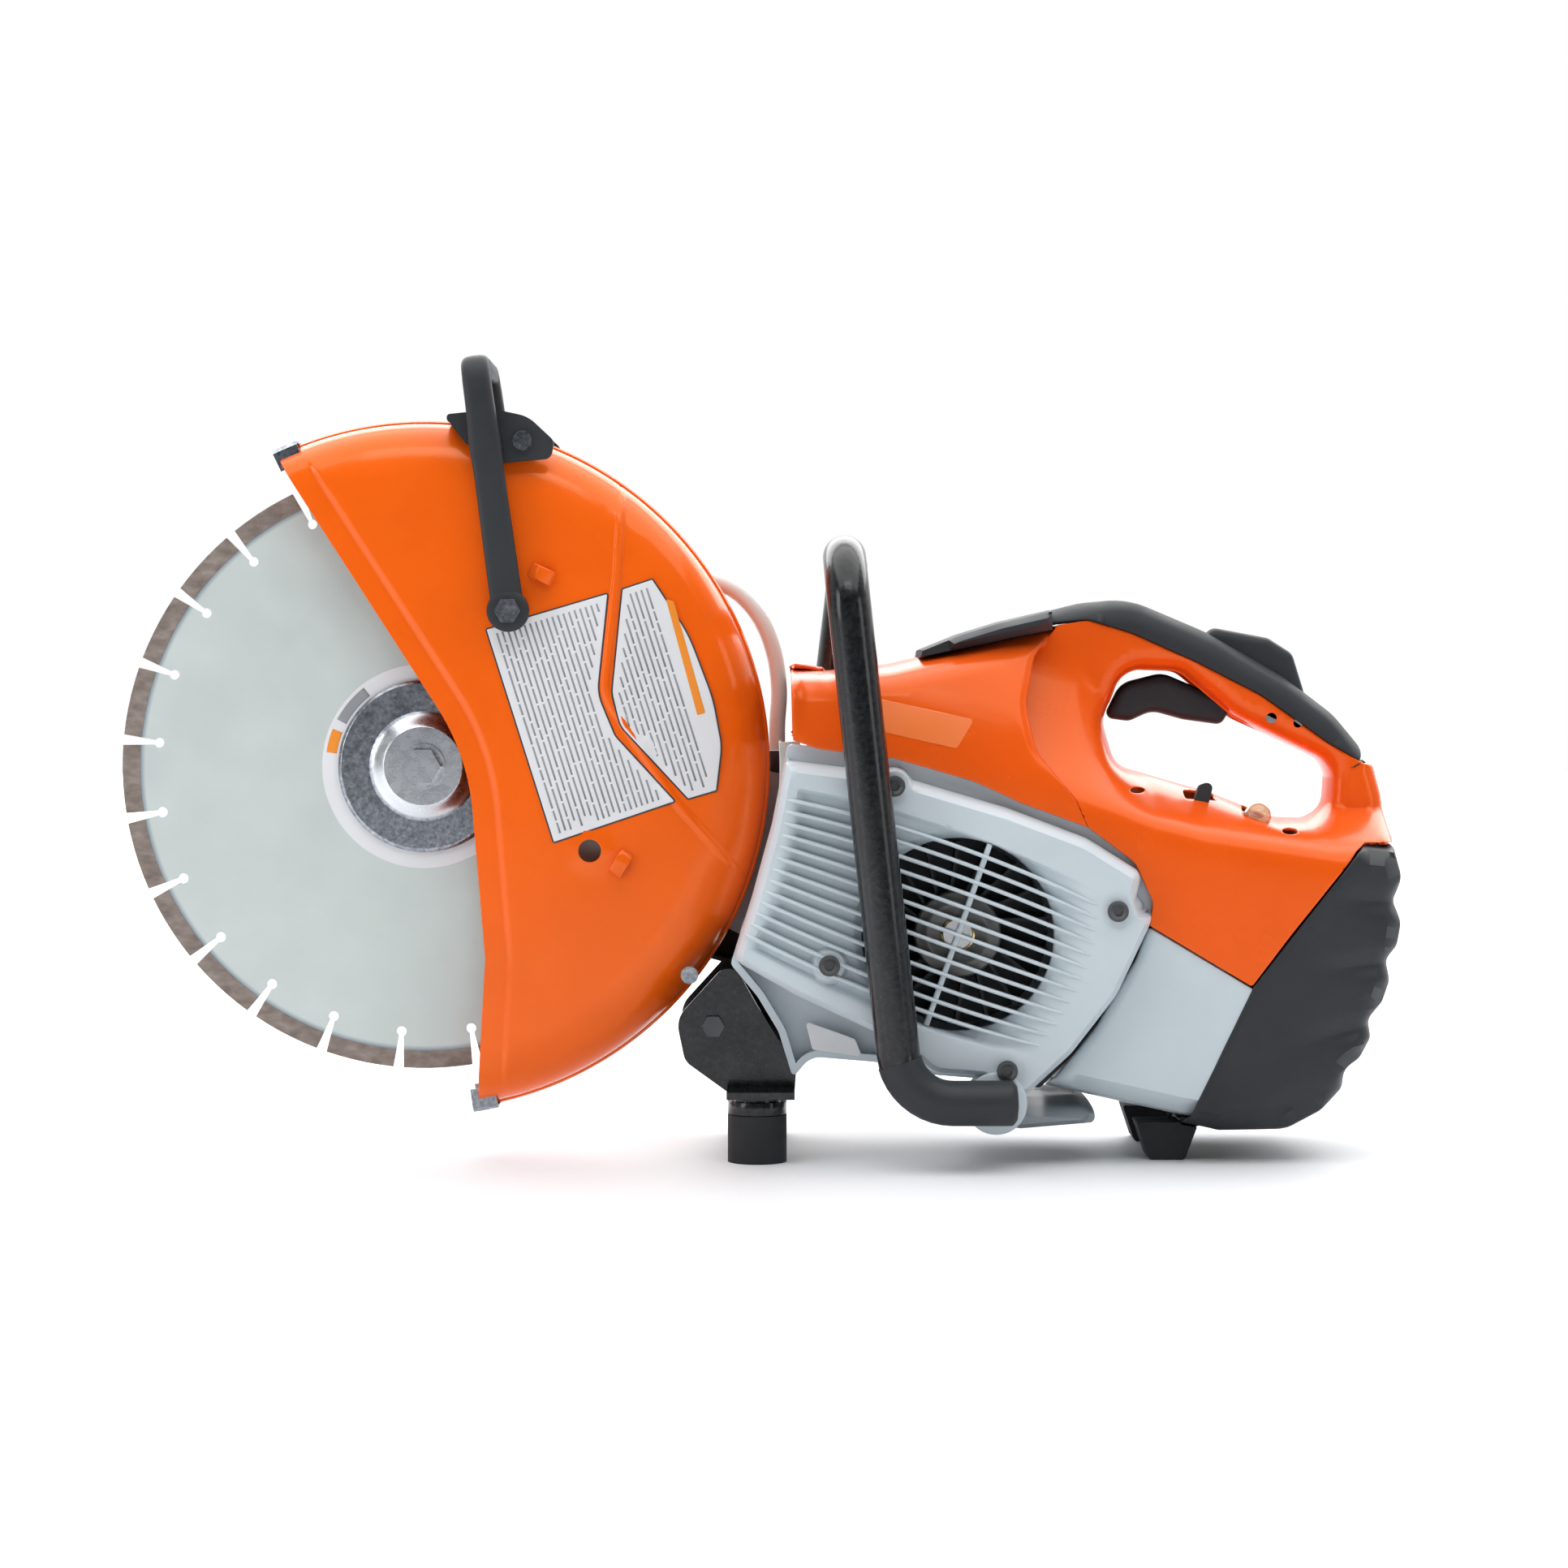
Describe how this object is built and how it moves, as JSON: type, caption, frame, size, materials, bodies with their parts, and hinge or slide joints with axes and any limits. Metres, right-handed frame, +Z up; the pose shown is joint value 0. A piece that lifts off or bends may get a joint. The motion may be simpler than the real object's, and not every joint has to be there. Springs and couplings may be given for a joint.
{
  "type": "concrete cut-off saw",
  "caption": "Hand-held petrol cut-off saw for concrete: segmented disc in a swinging guard, belt arm, fan-cooled engine, front tube handle and rear trigger handle.",
  "frame": {"origin": "on the ground, under the middle of the saw's bounding box", "axes": "+X from the cutting disc to the rear handle, -Y the fan side, +Z up"},
  "size_m": [0.7303, 0.236, 0.459],
  "materials": {
    "disc_steel": "satin pale grey paint on steel",
    "segment_bond": "grained sintered metal",
    "zinc_steel": "zinc plated, slightly matt",
    "machined_steel": "ground and turned",
    "dark_steel": "black oxide",
    "shield_steel": "pressed bright sheet",
    "cast_alloy": "pressure die cast",
    "bright_alloy": "bright cast",
    "orange_paint": "glossy orange powder coat on pressed alloy",
    "orange_plastic": "glossy moulded",
    "grey_plastic": "satin moulded",
    "dark_grey_plastic": "moulded",
    "black_plastic": "fine moulded texture",
    "blue_plastic": "moulded",
    "white_plastic": "moulded",
    "clear_plastic": "soft translucent",
    "hose_plastic": "soft hose",
    "white_rope": "braided cord",
    "filter_paper": "pleated",
    "black_rubber": "soft matt",
    "black_paint": "glossy black over a textured coat"
  },
  "bodies": {
    "root": {"bearings": "machined_steel", "water_hose": "hose_plastic", "water_connector": "black_plastic", "cast_arm": "cast_alloy", "belt_guard": "black_plastic", "drive_belt": "black_rubber", "crankcase_left": "cast_alloy", "crankcase_right": "cast_alloy", "engine_cylinder": "bright_alloy", "spark_plug": "black_rubber", "muffler": "shield_steel", "heat_shield": "shield_steel", "carburettor": "bright_alloy", "air_filter": "filter_paper", "fan_housing": "grey_plastic", "fan_cover": "grey_plastic", "housing_screws": "dark_steel", "hood": "orange_plastic", "filter_cover": "black_plastic", "rear_handle": "orange_plastic", "handle_grip": "black_rubber", "handle_pins": "machined_steel", "fuel_tank": "grey_plastic", "rear_bumper": "black_plastic", "rear_feet": "black_rubber", "front_handle": "black_paint", "handle_skid": "dark_grey_plastic", "front_bracket": "black_paint", "front_feet": "black_rubber", "starter_cover": "black_plastic", "starter_rope": "white_rope"},
    "wheel": {"cutting_disc": "disc_steel", "diamond_segments": "segment_bond", "front_washer": "zinc_steel", "rear_washer": "zinc_steel", "wheel_bolt": "zinc_steel", "spindle_shaft": "machined_steel", "spindle_pulley": "cast_alloy"},
    "guard": {"guard_shell": "orange_paint", "guard_hub": "cast_alloy", "guard_lever": "black_plastic", "lever_bracket": "black_plastic", "guard_screws": "zinc_steel", "guard_clips": "zinc_steel", "water_nozzle": "black_plastic"},
    "drum": {"clutch_drum": "machined_steel"},
    "crank": {"crankshaft": "machined_steel", "fan_wheel": "black_plastic", "clutch_shoes": "dark_steel"},
    "piston": {"piston": "bright_alloy", "piston_pin": "machined_steel", "connecting_rod": "machined_steel"},
    "decompression_button": {"decompression_valve": "blue_plastic"},
    "trigger": {"throttle_trigger": "black_plastic"},
    "lockout": {"trigger_lockout": "black_plastic"},
    "control": {"control_lever": "black_plastic"},
    "primer": {"primer_bulb": "clear_plastic"},
    "cap": {"fuel_cap": "black_plastic"},
    "rope_pulley": {"starter_pulley": "white_plastic"},
    "grip": {"starter_grip": "black_plastic"}
  },
  "joints": [
    {"name": "wheel_spin", "type": "hinge", "parent": "root", "child": "wheel", "pos_m": [-0.19, 0.008, 0.22], "axis": [0, -1, 0], "continuous": true},
    {"name": "drum_spin", "type": "hinge", "parent": "root", "child": "drum", "pos_m": [0.114, 0.072, 0.129], "axis": [0, -1, 0], "continuous": true},
    {"name": "crank_spin", "type": "hinge", "parent": "root", "child": "crank", "pos_m": [0.114, 0, 0.129], "axis": [0, -1, 0], "continuous": true},
    {"name": "piston_stroke", "type": "slide", "parent": "root", "child": "piston", "axis": [0.4695, 0, -0.8829], "range_m": [0, 0.034]},
    {"name": "guard_swing", "type": "hinge", "parent": "root", "child": "guard", "pos_m": [-0.19, 0.04, 0.22], "axis": [0, -1, 0], "range_deg": [0, 45], "deforming": ["water_hose"]},
    {"name": "decompression_press", "type": "slide", "parent": "root", "child": "decompression_button", "axis": [0.4695, 0, -0.8829], "range_m": [0, 0.004]},
    {"name": "trigger_pull", "type": "hinge", "parent": "root", "child": "trigger", "pos_m": [0.296, 0, 0.248], "axis": [0, 1, 0], "range_deg": [0, 8], "stiffness_Nm_per_rad": 1, "springref_deg": -2.86},
    {"name": "lockout_press", "type": "hinge", "parent": "root", "child": "lockout", "pos_m": [0.311, 0, 0.245], "axis": [0, -1, 0], "range_deg": [0, 8], "stiffness_Nm_per_rad": 0.8, "springref_deg": -4.58},
    {"name": "control_turn", "type": "hinge", "parent": "root", "child": "control", "pos_m": [0.252, -0.035, 0.192], "axis": [0, -1, 0], "range_deg": [0, 18]},
    {"name": "primer_press", "type": "slide", "parent": "root", "child": "primer", "axis": [-0.3907, 0, -0.9205], "range_m": [0, 0.003], "stiffness_N_per_m": 200, "springref_m": -0.002},
    {"name": "cap_turn", "type": "hinge", "parent": "root", "child": "cap", "pos_m": [0.262, 0.07, 0.072], "axis": [0, 1, 0], "range_deg": [0, 90]},
    {"name": "starter_pull", "type": "slide", "parent": "root", "child": "grip", "axis": [0, 0, 1], "range_m": [0, 0.6], "stiffness_N_per_m": 4, "springref_m": -0.3, "deforming": ["starter_rope"]},
    {"name": "rope_pulley_turn", "type": "hinge", "parent": "root", "child": "rope_pulley", "pos_m": [0.114, 0.1, 0.129], "axis": [0, -1, 0], "range_deg": [0, 1290]}
  ],
  "couplings": [
    {"joint": "drum_spin", "follows": "wheel_spin", "ratio": 2},
    {"joint": "rope_pulley_turn", "follows": "starter_pull", "rad_per_m": 37}
  ]
}
